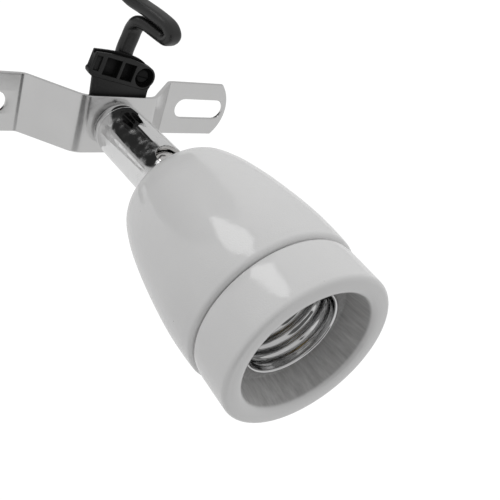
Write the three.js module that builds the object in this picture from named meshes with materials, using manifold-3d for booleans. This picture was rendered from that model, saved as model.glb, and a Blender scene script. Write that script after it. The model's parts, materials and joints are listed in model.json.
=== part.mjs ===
// Heat lamp fixture: a porcelain E27 lampholder on a slotted chrome swivel, carried by a bent steel
// strip with slotted tabs, with a moulded cord grip and a flat twin lead behind the strip.
//
// Millimetres. +Z is up, the wall is the plane y = 0, and the lamp points along -Y. Pieces are drawn
// about the middle of the strip on the wall plane; the whole is then moved to put the origin on the
// back of the left tab, above its slot.
//
// Two measures run outwards from the wall and are used below:
//   reach  distance from the strip's front face along -Y (the swivel's axis)
//   drop   distance from the swivel ball's centre along the lampholder's own axis

import * as THREE from 'three';
import { mergeVertices } from 'three/addons/utils/BufferGeometryUtils.js';
import Module from 'manifold-3d';

const wasm = await Module();
wasm.setup();

// ---- driving dimensions ------------------------------------------------------------------------

const FIT = 0.3; // working gap between neighbouring pieces
const TOUCH = 0.1; // gap between pieces that are clamped together
const OVERRUN = 1; // how far a cutter runs past the face that it opens

const STRIP_WIDTH = 20;
const STRIP_THICK = 1.2;
const STAND_OFF = 15; // tab front face to centre front face
const CENTRE_BEND_X = 12.7;
const TAB_BEND_X = 26.75;
const CENTRE_BEND_R = 6;
const TAB_BEND_R = 3.5;
const TAB_CORNER_X = 49.8;
const TAB_TIP_X = 53.8;
const SLOT_NEAR_X = 31.4;
const SLOT_FAR_X = 52.4;
const SLOT_HALF = 3.75;
const FRONT_Y = -(STRIP_THICK + STAND_OFF);
const BACK_Y = -STAND_OFF;
const ORIGIN_X = -41.9; // middle of the left slot
const ORIGIN_Z = 6.8; // middle of the land above the slot

const THREAD_R = 4.9; // M10 x 1 hollow thread, outside
const THREAD_HOLE_R = 5.2;
const NIPPLE_BORE_R = 3.3;
const NIPPLE_HEAD_R = 6.2;

const HOUSING_R = 8.7;
const HOUSING_BORE_R = 7.45;
const HOUSING_END = 38.4;
const CAP_LENGTH = 4.6;
const CAP_SHOULDER_R = 3.6;
const MOUTH_R = 6.1;
const SLOT_APEX = 30.3;
const NECK_SLOT_HALF = 5.15;

const PIVOT_REACH = 33.3;
const BALL_R = 7.2;
const NECK_BORE_R = 3.6;
const DROOP = THREE.MathUtils.degToRad(5); // lamp axis below the swivel's axis at rest
const SIDE_LEAN = THREE.MathUtils.degToRad(0.8); // lamp axis towards +X at rest

const DOME_TOP = 8.8;
const DOME_INSIDE = 13.1;
const SEAM = 62.1;
const COLLAR_TOP = 62.45;
const COLLAR_R = 24.6;
const RIM_FRONT = 77.6;
const MOUTH_BORE_R = 19;
const LEDGE = 67.1;

const SHELL_FOOT = 45.4;
const SHELL_RIM = 69.6;
const SHELL_RIM_R = 14.4;
const SHELL_CREST_R = 12.35;
const SHELL_ROOT_R = 13.4;
const SHELL_WALL = 0.45;
const THREAD_PITCH = 3.63;
const THREAD_TURNS = 5;
const THREAD_START = 47.6;

const CARRIER_R = 17;
const CARRIER_BACK = 38;
const CARRIER_FRONT = 45;
const TERMINAL_X = 9;
const CARRIER_SCREW_Z = 9.9;

const CABLE_BROAD = 2.9; // half the flat lead's width
const CABLE_THIN = 1.95; // half its thickness
const CORE_R = 0.95;

const GRIP_HALF = 9; // half the width that fits between the strip's bends
const GRIP_FOOT_Z = -9.5;
const GRIP_TRAY_TOP_Z = 6;
const GRIP_FRONT_Y = BACK_Y + TOUCH;
const GRIP_WALL = 1.3;
const GRIP_ROLL = THREE.MathUtils.degToRad(-11); // the clamp bar sits askew, square to the lead
const BAR_X = -0.75;
const BAR_Z = 18.7;
const BAR_THICK = 2.8;
const BAR_BOTTOM = -4.6;
const BOSS_X = 8.4;
const BOSS_Z = -0.7;
const BOSS_R = 3.9;
const RECESS_R = 3.3; // the screw's recess in the boss
const SCREW_SEAT = 2; // its depth
const TOP_GROOVE = 0.9; // the bar's top has a groove between its front and a thin rear rib
const REAR_RIB = 1.9; // depth at which the rib starts
const JAW_LEFT = -2.4;
const JAW_RIGHT = 4.85;
const JAW_FLOOR_Z = 8.9;
const JAW_TOP_Z = 15.3;

// ---- finishes ----------------------------------------------------------------------------------

const STEEL = { color: 0xb4b4b2, roughness: 0.32, metalness: 1 };
const CHROME = { color: 0xd8d8d8, roughness: 0.07, metalness: 1 };
const NICKEL = { color: 0xc4c2bc, roughness: 0.2, metalness: 1 };
const BLACKENED = { color: 0x2b2b2c, roughness: 0.4, metalness: 1 };
const ZINC = { color: 0xa9abad, roughness: 0.4, metalness: 1 };
const BRASS = { color: 0xb8964e, roughness: 0.35, metalness: 1 };
const PORCELAIN = { color: 0xc9c8c4, roughness: 0.12, metalness: 0 };
const STEATITE = { color: 0xd6d0c2, roughness: 0.7, metalness: 0 };
const BLACK_PLASTIC = { color: 0x1c1c1d, roughness: 0.5, metalness: 0 };
const BLACK_RUBBER = { color: 0x2a2a2b, roughness: 0.55, metalness: 0 };
const FIBRE = { color: 0x7a3b22, roughness: 0.8, metalness: 0 };
const BROWN_CORE = { color: 0x5c3520, roughness: 0.5, metalness: 0 };
const BLUE_CORE = { color: 0x2c4f8f, roughness: 0.5, metalness: 0 };
const COPPER = { color: 0xb87349, roughness: 0.35, metalness: 1 };

// ---- shape tools -------------------------------------------------------------------------------

function piece(name, geometry, finish) {
  const mesh = new THREE.Mesh(geometry, new THREE.MeshStandardMaterial(finish));
  mesh.name = name;
  return mesh;
}

// A turned solid about Y. The outline is [radius, height] pairs, going up outside and down inside.
function turned(outline, segments = 32) {
  const points = outline.map(([radius, height]) => new THREE.Vector2(radius, height));
  if (points[0].x > 0) points.push(points[0].clone());
  return new THREE.LatheGeometry(points, segments);
}

function ring(inner, outer, low, high, segments = 32) {
  return turned([[inner, low], [outer, low], [outer, high], [inner, high]], segments);
}

// A plain rod about Y.
function rod(radius, low, high, segments = 28) {
  return turned([[0, low], [radius, low], [radius, high], [0, high]], segments);
}

// A flat outline in X-Z, thickened from y = low to y = high.
function slab(shape, low, high, curveSegments = 8) {
  const geometry = new THREE.ExtrudeGeometry(shape, {
    depth: high - low,
    bevelEnabled: false,
    curveSegments,
  });
  geometry.rotateX(Math.PI / 2);
  geometry.translate(0, high, 0);
  return geometry;
}

function block(x0, x1, y0, y1, z0, z1) {
  const geometry = new THREE.BoxGeometry(x1 - x0, y1 - y0, z1 - z0);
  geometry.translate((x0 + x1) / 2, (y0 + y1) / 2, (z0 + z1) / 2);
  return geometry;
}

function outlineOf(pairs) {
  return new THREE.Shape(pairs.map(([x, y]) => new THREE.Vector2(x, y)));
}

function moved(geometry, x, y, z) {
  geometry.translate(x, y, z);
  return geometry;
}

function solidOf(geometry) {
  const bare = new THREE.BufferGeometry();
  bare.setAttribute('position', geometry.attributes.position);
  bare.setIndex(geometry.index);
  const merged = mergeVertices(bare, 1e-5);
  const index = merged.index.array;
  const corners = [];
  for (let i = 0; i < index.length; i += 3) {
    const [a, b, c] = [index[i], index[i + 1], index[i + 2]];
    if (a !== b && b !== c && c !== a) corners.push(a, b, c);
  }
  return new wasm.Manifold(new wasm.Mesh({
    numProp: 3,
    vertProperties: new Float32Array(merged.attributes.position.array),
    triVerts: new Uint32Array(corners),
  }));
}

function geometryOf(solid) {
  const mesh = solid.getMesh();
  const geometry = new THREE.BufferGeometry();
  geometry.setAttribute('position', new THREE.BufferAttribute(mesh.vertProperties, 3));
  geometry.setIndex(new THREE.BufferAttribute(mesh.triVerts, 1));
  return geometry;
}

function cut(geometry, ...cutters) {
  let solid = solidOf(geometry);
  for (const cutter of cutters) solid = solid.subtract(solidOf(cutter));
  return geometryOf(solid);
}

function fused(geometry, ...others) {
  let solid = solidOf(geometry);
  for (const other of others) solid = solid.add(solidOf(other));
  return geometryOf(solid);
}

function common(geometry, other) {
  return geometryOf(solidOf(geometry).intersect(solidOf(other)));
}

function circleShape(x, y, radius) {
  const shape = new THREE.Shape();
  shape.absarc(x, y, radius, 0, 2 * Math.PI, false);
  return shape;
}

function ellipseShape(halfWidth, halfHeight) {
  const shape = new THREE.Shape();
  shape.absellipse(0, 0, halfWidth, halfHeight, 0, 2 * Math.PI, false);
  return shape;
}

function hexShape(acrossFlats) {
  const corner = acrossFlats / Math.sqrt(3);
  const pairs = [];
  for (let i = 0; i < 6; i++) {
    const angle = Math.PI / 6 + i * Math.PI / 3;
    pairs.push([corner * Math.cos(angle), corner * Math.sin(angle)]);
  }
  return outlineOf(pairs);
}

// A section swept along a path through the given points, without twist.
function swept(points, section, steps, sectionSteps) {
  const path = new THREE.CatmullRomCurve3(points.map((p) => new THREE.Vector3(...p)), false, 'centripetal');
  return new THREE.ExtrudeGeometry(section, {
    steps,
    extrudePath: path,
    bevelEnabled: false,
    curveSegments: sectionSteps,
  });
}

// ---- bracket -----------------------------------------------------------------------------------

// The centre line of half the strip, from the middle out to the tip, with rounded bends.
function halfStripLine() {
  const corners = [
    new THREE.Vector2(0, FRONT_Y + STRIP_THICK / 2),
    new THREE.Vector2(CENTRE_BEND_X, FRONT_Y + STRIP_THICK / 2),
    new THREE.Vector2(TAB_BEND_X, -STRIP_THICK / 2),
    new THREE.Vector2(TAB_TIP_X + OVERRUN, -STRIP_THICK / 2),
  ];
  const radii = [0, CENTRE_BEND_R, TAB_BEND_R, 0];
  const line = [corners[0]];
  for (let i = 1; i < corners.length - 1; i++) {
    line.push(...roundedCorner(corners[i - 1], corners[i], corners[i + 1], radii[i], 8));
  }
  line.push(corners[corners.length - 1]);
  return line;
}

// Points along the arc that rounds the corner between two straight runs.
function roundedCorner(before, corner, after, radius, steps) {
  const toBefore = before.clone().sub(corner).normalize();
  const toAfter = after.clone().sub(corner).normalize();
  const half = Math.acos(THREE.MathUtils.clamp(toBefore.dot(toAfter), -1, 1)) / 2;
  const bisector = toBefore.clone().add(toAfter).normalize();
  const centre = corner.clone().addScaledVector(bisector, radius / Math.sin(half));
  const start = corner.clone().addScaledVector(toBefore, radius / Math.tan(half)).sub(centre);
  const turn = Math.sign(start.cross(bisector.clone().negate())) * (Math.PI - 2 * half);
  const points = [];
  for (let i = 0; i <= steps; i++) {
    const arm = start.clone().rotateAround(new THREE.Vector2(0, 0), turn * i / steps);
    points.push(arm.add(centre));
  }
  return points;
}

// Points shifted sideways from a line by a signed distance.
function offsetLine(line, distance) {
  return line.map((point, i) => {
    const from = line[Math.max(i - 1, 0)];
    const to = line[Math.min(i + 1, line.length - 1)];
    const along = to.clone().sub(from).normalize();
    return new THREE.Vector2(point.x - along.y * distance, point.y + along.x * distance);
  });
}

function slotCutter(side) {
  const shape = new THREE.Shape();
  const near = SLOT_NEAR_X + SLOT_HALF;
  const far = SLOT_FAR_X - SLOT_HALF;
  shape.absarc(far, 0, SLOT_HALF, -Math.PI / 2, Math.PI / 2, false);
  shape.absarc(near, 0, SLOT_HALF, Math.PI / 2, 3 * Math.PI / 2, false);
  const geometry = slab(shape, -STRIP_THICK - OVERRUN, OVERRUN, 10);
  if (side < 0) geometry.rotateY(Math.PI);
  return geometry;
}

// The cutter that leaves a shallow arc at each tip of the strip.
function stripBlank() {
  const rise = TAB_TIP_X - TAB_CORNER_X;
  const half = STRIP_WIDTH / 2;
  const arcR = (half * half + rise * rise) / (2 * rise);
  const arcX = TAB_TIP_X - arcR;
  const spread = Math.asin((half + OVERRUN) / arcR);
  const shape = new THREE.Shape();
  shape.absarc(arcX, 0, arcR, -spread, spread, false);
  shape.absarc(-arcX, 0, arcR, Math.PI - spread, Math.PI + spread, false);
  return slab(shape, FRONT_Y - OVERRUN, OVERRUN, 10);
}

function bracketStrip() {
  const right = halfStripLine().slice(1);
  const left = right.map((p) => new THREE.Vector2(-p.x, p.y)).reverse();
  const line = [...left, ...right];
  const shape = new THREE.Shape([
    ...offsetLine(line, -STRIP_THICK / 2),
    ...offsetLine(line, STRIP_THICK / 2).reverse(),
  ]);
  const bent = new THREE.ExtrudeGeometry(shape, { depth: STRIP_WIDTH, bevelEnabled: false });
  bent.translate(0, 0, -STRIP_WIDTH / 2);
  const trimmed = common(bent, stripBlank());
  const hole = rod(THREAD_HOLE_R, FRONT_Y - OVERRUN, BACK_Y + OVERRUN);
  return cut(trimmed, slotCutter(1), slotCutter(-1), hole);
}

// ---- cord grip, behind the strip ---------------------------------------------------------------

// Turns a piece drawn square to the lead into its place on the bracket.
function askew(geometry) {
  geometry.rotateY(-GRIP_ROLL);
  geometry.translate(BAR_X, 0, BAR_Z);
  return geometry;
}

// The bar seen from the front: square at the left, with a small lip, and round about the screw. Its
// bowed top is highest near the crown, a point in X and Z.
function barOutline([crownX, crownZ], topLeft) {
  const left = -11.2;
  const shape = new THREE.Shape();
  shape.moveTo(left + 1.2, BAR_BOTTOM);
  shape.absarc(BOSS_X, BOSS_Z, BOSS_R, -Math.PI / 2, Math.PI / 2, false);
  shape.quadraticCurveTo(crownX, crownZ, left, topLeft);
  shape.lineTo(left, -2);
  shape.lineTo(left - 0.4, -2.9);
  shape.lineTo(left, -3.8);
  return shape;
}

// The y of a depth behind the grip's front face.
function behind(depth) {
  return GRIP_FRONT_Y + depth;
}

function cordGripClamp() {
  const plate = slab(barOutline([0, 3.8], 2.4), GRIP_FRONT_Y, behind(BAR_THICK), 6);
  const front = slab(barOutline([0, 4.8], 3.1), GRIP_FRONT_Y, behind(TOP_GROOVE), 6);
  const rib = slab(barOutline([4, 6.2], 3.4), behind(REAR_RIB), behind(BAR_THICK), 6);
  const widePocket = block(-6.8, -1.3, behind(-OVERRUN), behind(2.1), -3.3, 2.5);
  const narrowPocket = block(-0.2, 4.2, behind(-OVERRUN), behind(2.3), -3.3, 2.4);
  const endPanel = block(-10.4, -8.4, behind(-OVERRUN), behind(0.5), -2.6, 2.2);
  const recess = rod(RECESS_R, behind(-OVERRUN), behind(SCREW_SEAT), 24);
  const shankHole = rod(1.7, GRIP_FRONT_Y, behind(BAR_THICK + OVERRUN), 16);
  moved(recess, BOSS_X, 0, BOSS_Z);
  moved(shankHole, BOSS_X, 0, BOSS_Z);
  return askew(cut(fused(plate, front, rib), widePocket, narrowPocket, endPanel, recess, shankHole));
}

function cordGripScrew() {
  const top = behind(1.1);
  const seat = behind(SCREW_SEAT - FIT / 2);
  const tip = behind(5.7);
  const screw = turned([
    [0, top], [2, top], [2.4, top + 0.3], [2.4, seat], [1.3, seat], [1.3, tip - 0.7], [0, tip],
  ], 20);
  const driveSlot = block(-2.6, 2.6, top - OVERRUN, top + 0.5, -0.35, 0.35);
  return askew(moved(cut(screw, driveSlot), BOSS_X, 0, BOSS_Z));
}

// The grip's face below the clamp bar, which follows the bar's underside.
function gripFace() {
  return outlineOf([
    [-GRIP_HALF, GRIP_FOOT_Z], [GRIP_HALF, GRIP_FOOT_Z], [9.6, 9], [9.65, 12.2], [10.9, 15.3],
    [8, 17], [-10.9, 17], [-10.3, 9],
  ]);
}

function cordGripBase() {
  const traySide = GRIP_HALF - 1.2;
  const tray = block(-GRIP_HALF, GRIP_HALF, GRIP_FRONT_Y, behind(5), GRIP_FOOT_Z, GRIP_TRAY_TOP_Z);
  const inside = block(
    -traySide, traySide, behind(GRIP_WALL), behind(5 + OVERRUN),
    GRIP_FOOT_Z + 1.2, GRIP_TRAY_TOP_Z + OVERRUN);
  const face = slab(gripFace(), GRIP_FRONT_Y, behind(GRIP_WALL));
  const jaws = [
    block(JAW_LEFT, JAW_LEFT + 0.7, GRIP_FRONT_Y, behind(8.9), JAW_FLOOR_Z, JAW_TOP_Z),
    block(JAW_RIGHT, GRIP_HALF, GRIP_FRONT_Y, behind(8.9), JAW_FLOOR_Z, JAW_TOP_Z),
    block(JAW_LEFT, GRIP_HALF, behind(7.9), behind(8.9), JAW_FLOOR_Z + 1.5, JAW_TOP_Z),
    block(JAW_RIGHT, 10, behind(BAR_THICK), behind(5.2), 12, 18.3),
  ];
  const barSpace = block(-18, BOSS_X, behind(-OVERRUN), behind(BAR_THICK + FIT), BAR_BOTTOM - TOUCH, 8);
  const bossSpace = rod(BOSS_R + TOUCH, behind(-OVERRUN), behind(BAR_THICK + FIT), 24);
  moved(bossSpace, BOSS_X, 0, BOSS_Z);
  const hornSpace = block(BOSS_X, 18, behind(-OVERRUN), behind(BAR_THICK + FIT), -2.4, 8);
  const screwHole = moved(rod(1.6, GRIP_FRONT_Y, behind(5.2 + OVERRUN), 16), BOSS_X, 0, BOSS_Z);
  const nippleHole = rod(THREAD_HOLE_R, behind(-OVERRUN), behind(GRIP_WALL + OVERRUN));
  const bar = [barSpace, bossSpace, hornSpace, screwHole].map(askew);
  return cut(fused(cut(tray, inside), face, ...jaws), ...bar, nippleHole);
}

// ---- lead --------------------------------------------------------------------------------------

// The lead runs back through the nipple, turns up inside the cord grip, leaves its top, folds forward
// over the strip, and doubles back above itself towards the wall.
const LEAD_PATH = [
  [0, -40, 0], [0, -24, 0], [0, -14.2, 0], [0.1, -11, 0.3], [0.5, -8.6, 2.8], [1.4, -8.2, 6.2],
  [1.6, -9.2, 10.5], [1.4, -10, 15.5], [0.8, -10.1, 22.8], [1.7, -10.2, 28], [2.1, -10.7, 31.2],
  [2.4, -12.6, 33.8], [3.7, -15, 34.1], [5.4, -18.8, 33.4], [6.5, -21.4, 32.9], [6.9, -23.9, 33],
  [7, -25.5, 34.8], [6.5, -24, 36.7], [5.2, -20, 37.8], [4.1, -16.8, 38.3], [2.5, -12, 38.8],
  [0.6, -8.4, 39.6], [-2, -6, 41.8], [-4.5, -5, 45.8], [-7.2, -5.4, 51.8], [-9, -6, 56.5],
];
const LEAD_END = new THREE.Vector3(-9.15, -6.05, 56.9);
const LEAD_ALONG = new THREE.Vector3(-0.37, -0.12, 0.92).normalize();
const LEAD_ACROSS = new THREE.Vector3(0.92, 0, 0.37).normalize();

function leadSheath() {
  return swept(LEAD_PATH, ellipseShape(CABLE_THIN, CABLE_BROAD), 84, 4);
}

// A point beyond the sheath's cut end.
function pastEnd(along, across) {
  return LEAD_END.clone().addScaledVector(LEAD_ALONG, along).addScaledVector(LEAD_ACROSS, across).toArray();
}

// A core that leaves the sheath's cut end, beside its twin.
function leadCore(side) {
  const points = [[0, 1.15], [2.4, 1.15], [5.6, 2], [8.8, 3.4]];
  return swept(
    points.map(([along, across]) => pastEnd(along, side * across)),
    circleShape(0, 0, CORE_R), 8, 5);
}

// The bare strands at the end of a core.
function leadStrands(side) {
  const points = [[9.1, 3.55], [10.9, 4.4], [12.8, 5.2]];
  return swept(
    points.map(([along, across]) => pastEnd(along, side * across)),
    circleShape(0, 0, CORE_R * 0.55), 3, 4);
}

// ---- swivel; heights are reach from the strip's front face --------------------------------------

function entryNipple() {
  const headLow = 3.5;
  const headHigh = 6;
  return turned([
    [NIPPLE_BORE_R, -5.6], [THREAD_R - 0.4, -5.6], [THREAD_R, -5.2], [THREAD_R, headLow],
    [NIPPLE_HEAD_R, headLow], [NIPPLE_HEAD_R, headHigh - 0.5], [NIPPLE_HEAD_R - 0.5, headHigh],
    [NIPPLE_BORE_R, headHigh],
  ], 24);
}

function lockWasher() {
  const low = -3.2;
  return ring(THREAD_HOLE_R, 7.4, low, low + 0.5, 24);
}

function hexNut(acrossFlats, low, high) {
  const shape = hexShape(acrossFlats);
  const hole = new THREE.Path();
  hole.absarc(0, 0, THREAD_HOLE_R, 0, 2 * Math.PI, true);
  shape.holes.push(hole);
  return slab(shape, low, high, 12);
}

// The swivel's closed end: a screwed-in cap with a rounded shoulder against the strip.
function housingCap() {
  const low = TOUCH;
  const shoulder = [];
  for (let i = 0; i <= 5; i++) {
    const angle = -Math.PI / 2 + i * Math.PI / 10;
    shoulder.push([
      HOUSING_R - CAP_SHOULDER_R + CAP_SHOULDER_R * Math.cos(angle),
      low + CAP_SHOULDER_R + CAP_SHOULDER_R * Math.sin(angle),
    ]);
  }
  const spigotEnd = 7.4;
  return turned([
    [THREAD_HOLE_R - 0.1, low], ...shoulder, [HOUSING_R, CAP_LENGTH],
    [HOUSING_BORE_R - TOUCH, CAP_LENGTH], [HOUSING_BORE_R - TOUCH, spigotEnd],
    [HOUSING_BORE_R - 0.8, spigotEnd], [HOUSING_BORE_R - 0.8, 2.6], [THREAD_HOLE_R - 0.1, 2.6],
  ], 36);
}

// The tube: bored from the cap end, drawn in at the mouth to hold the ball, and slotted on top.
function swivelHousing() {
  const tube = turned([
    [HOUSING_BORE_R, CAP_LENGTH + TOUCH], [HOUSING_R - 0.15, CAP_LENGTH + TOUCH],
    [HOUSING_R, CAP_LENGTH + 0.25], [HOUSING_R, HOUSING_END - 0.5], [HOUSING_R - 0.5, HOUSING_END],
    [MOUTH_R + 0.3, HOUSING_END], [MOUTH_R, HOUSING_END - 0.4], [MOUTH_R, PIVOT_REACH + 4.3],
    [6.75, PIVOT_REACH + 3.4], [HOUSING_BORE_R, PIVOT_REACH + 2.2],
  ], 44);
  const slot = new THREE.Shape();
  const centre = SLOT_APEX + NECK_SLOT_HALF;
  slot.moveTo(-NECK_SLOT_HALF, HOUSING_END + OVERRUN);
  slot.lineTo(-NECK_SLOT_HALF, centre);
  slot.absarc(0, centre, NECK_SLOT_HALF, Math.PI, 2 * Math.PI, false);
  slot.lineTo(NECK_SLOT_HALF, HOUSING_END + OVERRUN);
  const cutter = new THREE.ExtrudeGeometry(slot, {
    depth: HOUSING_R + OVERRUN,
    bevelEnabled: false,
    curveSegments: 16,
  });
  return cut(tube, cutter);
}

function frictionWasher() {
  return ring(THREAD_HOLE_R, 6.4, 2.6 + TOUCH, 3.5 - TOUCH, 24);
}

function pressureSpring() {
  const coilR = 5.6;
  const wireR = 0.55;
  const low = 7.2;
  const high = 23.2;
  const turns = 4;
  const points = [];
  const stepsPerTurn = 12;
  for (let i = 0; i <= turns * stepsPerTurn; i++) {
    const angle = 2 * Math.PI * i / stepsPerTurn;
    const height = low + (high - low) * i / (turns * stepsPerTurn);
    points.push([coilR * Math.cos(angle), height, coilR * Math.sin(angle)]);
  }
  return swept(points, circleShape(0, 0, wireR), turns * 12, 3);
}

function pressureCup() {
  return turned([
    [3.9, 24.2], [7.2, 24.2], [7.2, 29.8], [6.8, 29.8], [3.9, 26.5],
  ], 28);
}

// ---- ball and neck; heights are drop from the ball's centre --------------------------------------

function swivelBall() {
  const ball = new THREE.SphereGeometry(BALL_R, 28, 18);
  const bore = rod(NECK_BORE_R, -BALL_R - OVERRUN, BALL_R + OVERRUN);
  const socket = rod(THREAD_HOLE_R, 2.5, BALL_R + OVERRUN);
  const rearFlat = block(-BALL_R, BALL_R, -BALL_R - OVERRUN, -6.1, -BALL_R, BALL_R);
  return cut(ball, bore, socket, rearFlat);
}

function threadedNeck() {
  return ring(NECK_BORE_R, THREAD_R, 2.8, 19.4, 24);
}

// ---- lampholder ----------------------------------------------------------------------------------

function porcelainBody() {
  const outside = new THREE.SplineCurve([
    [11, DOME_TOP], [14.6, 9.85], [18.1, 12.6], [20.75, 19.2], [22.75, 28.2], [24.2, 38], [25.25, 49],
    [25.35, 58], [25.1, SEAM - 1.2],
  ].map(([r, d]) => new THREE.Vector2(r, d))).getPoints(14).map((p) => [p.x, p.y]);
  return turned([
    [5.4, DOME_TOP], ...outside, [24.7, SEAM - 0.4], [24, SEAM],
    [20.9, SEAM], [20.9, 42], [20.2, 32], [18.3, 22], [16, 16.6], [12.4, DOME_INSIDE],
    [5.4, DOME_INSIDE],
  ], 48);
}

function porcelainCollar() {
  const rim = [
    [COLLAR_R, RIM_FRONT - 2], [COLLAR_R - 0.2, RIM_FRONT - 1.1], [COLLAR_R - 0.7, RIM_FRONT - 0.45],
    [COLLAR_R - 1.6, RIM_FRONT - 0.1], [21.6, RIM_FRONT], [20.2, RIM_FRONT - 0.2],
    [19.4, RIM_FRONT - 0.7], [MOUTH_BORE_R, RIM_FRONT - 1.7],
  ];
  return turned([
    [16.4, 57], [20.5, 57], [20.5, COLLAR_TOP], [COLLAR_R - 0.7, COLLAR_TOP],
    [COLLAR_R - 0.15, COLLAR_TOP + 0.6], [COLLAR_R, 69], ...rim, [MOUTH_BORE_R - 0.2, 73],
    [18.2, LEDGE + 0.7], [17.6, LEDGE], [14, LEDGE], [14, 64.6], [16.4, 62],
  ], 48);
}

// The E27 screw shell: a rolled rim, a wavy wall, and a foot turned in under the lamp cap.
function threadShell() {
  const wave = [];
  for (let i = 0; i <= 2 * THREAD_TURNS; i++) {
    wave.push([i % 2 ? SHELL_ROOT_R : SHELL_CREST_R, THREAD_START + THREAD_PITCH * i / 2]);
  }
  const inner = wave.reverse();
  const outer = wave.map(([r, d]) => [r + SHELL_WALL, d]).reverse();
  return turned([
    [9.6, SHELL_FOOT], [13, SHELL_FOOT], ...outer, [13.5, LEDGE + 0.2], [13.7, LEDGE + FIT],
    [SHELL_RIM_R - 0.2, LEDGE + 0.9], [SHELL_RIM_R, SHELL_RIM - 0.6], [SHELL_RIM_R - 0.5, SHELL_RIM],
    [13.2, SHELL_RIM - 0.2], [12.9, LEDGE + 0.6], ...inner, [12.6, SHELL_FOOT + SHELL_WALL],
    [9.6, SHELL_FOOT + SHELL_WALL],
  ], 32);
}

function contactCarrier() {
  const disc = ring(3, CARRIER_R, CARRIER_BACK, CARRIER_FRONT);
  const strapSlot = block(10.8, 12.8, CARRIER_BACK - OVERRUN, CARRIER_FRONT + OVERRUN, -3, 3);
  const screwHoles = [1, -1].map((side) =>
    moved(rod(1.8, CARRIER_BACK - OVERRUN, CARRIER_FRONT + OVERRUN, 16), 0, 0, side * CARRIER_SCREW_Z));
  const headSinks = [1, -1].map((side) =>
    moved(rod(3.1, CARRIER_FRONT - 2, CARRIER_FRONT + OVERRUN, 20), 0, 0, side * CARRIER_SCREW_Z));
  return cut(disc, strapSlot, ...screwHoles, ...headSinks);
}

// A sprung blade that rises from its foot to a flat pad under the lamp cap's tip.
function centreContact() {
  const thick = 0.5;
  const shape = outlineOf([
    [-8.4, 45.5], [-7.8, 45.4], [-2.6, 49.4], [2.6, 49.4], [2.6, 49.4 + thick], [-2.8, 49.4 + thick],
    [-8.2, 45.8 + 0.2],
  ]);
  const blade = new THREE.ExtrudeGeometry(shape, { depth: 5, bevelEnabled: false });
  return moved(blade, 0, 0, -2.5);
}

function shellStrap() {
  return block(11.4, 12, CARRIER_BACK + 0.1, SHELL_FOOT - FIT, -2.5, 2.5);
}

function terminalBlock(x) {
  const body = block(x - 3, x + 3, 31, CARRIER_BACK - FIT, -3, 3);
  const wireHole = moved(rod(1.3, 31 - OVERRUN, 36, 16), x, 0, 0);
  const screwHole = rod(1.4, 0, 3 + OVERRUN, 16);
  screwHole.rotateX(Math.PI / 2);
  return cut(body, wireHole, moved(screwHole, x, 34, 0));
}

function terminalScrew(x) {
  const screw = turned([
    [0, 1.6], [1.1, 1.6], [1.1, 3 + FIT], [2, 3 + FIT], [2, 4.6], [1.7, 4.9], [0, 4.9],
  ], 20);
  const driveSlot = block(-2.2, 2.2, 4.3, 4.9 + OVERRUN, -0.3, 0.3);
  const cutScrew = cut(screw, driveSlot);
  cutScrew.rotateX(Math.PI / 2);
  return moved(cutScrew, x, 34, 0);
}

// The plate inside the dome that hangs the porcelain on the neck.
function neckBridge() {
  const low = DOME_INSIDE + FIT;
  const plate = ring(THREAD_HOLE_R, 12.2, low, low + 1.6);
  const holes = [1, -1].map((side) =>
    moved(rod(1.8, low - OVERRUN, low + 1.6 + OVERRUN, 16), 0, 0, side * CARRIER_SCREW_Z));
  return cut(plate, ...holes);
}

// A long screw from the contact carrier back to the bridge.
function carrierScrew(side) {
  const seat = CARRIER_FRONT - 2 + FIT;
  const screw = turned([
    [0, DOME_INSIDE + FIT], [1.4, DOME_INSIDE + FIT], [1.4, seat], [2.7, seat], [2.7, seat + 1],
    [2, seat + 1.5], [0, seat + 1.5],
  ], 20);
  const driveSlot = block(-2.8, 2.8, seat + 0.8, seat + 1.5 + OVERRUN, -0.3, 0.3);
  return moved(cut(screw, driveSlot), 0, 0, side * CARRIER_SCREW_Z);
}

// A core from the ball's bore to its terminal.
function holderCore(side) {
  return swept(
    [[side * 1.25, -5.4, 0], [side * 1.25, 4, 0], [side * 1.25, 15, 0], [side * 2.6, 21.5, 0],
      [side * 7.4, 26.2, 0], [side * TERMINAL_X, 30.5, 0]],
    circleShape(0, 0, CORE_R), 22, 4);
}

// ---- assembly ------------------------------------------------------------------------------------

const fixture = new THREE.Group();
fixture.position.set(-ORIGIN_X, 0, -ORIGIN_Z);
fixture.add(
  piece('bracket_strip', bracketStrip(), STEEL),
  piece('cord_grip_base', cordGripBase(), BLACK_PLASTIC),
  piece('cord_grip_clamp', cordGripClamp(), BLACK_PLASTIC),
  piece('cord_grip_screw', cordGripScrew(), BLACKENED),
  piece('lead_sheath', leadSheath(), BLACK_RUBBER),
  piece('lead_core_live', leadCore(1), BROWN_CORE),
  piece('lead_core_neutral', leadCore(-1), BLUE_CORE),
  piece('lead_strands_live', leadStrands(1), COPPER),
  piece('lead_strands_neutral', leadStrands(-1), COPPER),
);

const swivel = new THREE.Group();
swivel.position.set(0, FRONT_Y, 0);
swivel.rotation.z = Math.PI;
swivel.add(
  piece('entry_nipple', entryNipple(), BRASS),
  piece('lock_washer', lockWasher(), ZINC),
  piece('nipple_nut', hexNut(14, -5.2, -3.3), BRASS),
  piece('housing_cap', housingCap(), CHROME),
  piece('swivel_housing', swivelHousing(), CHROME),
  piece('friction_washer', frictionWasher(), FIBRE),
  piece('pressure_spring', pressureSpring(), STEEL),
  piece('pressure_cup', pressureCup(), NICKEL),
);
fixture.add(swivel);

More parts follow.
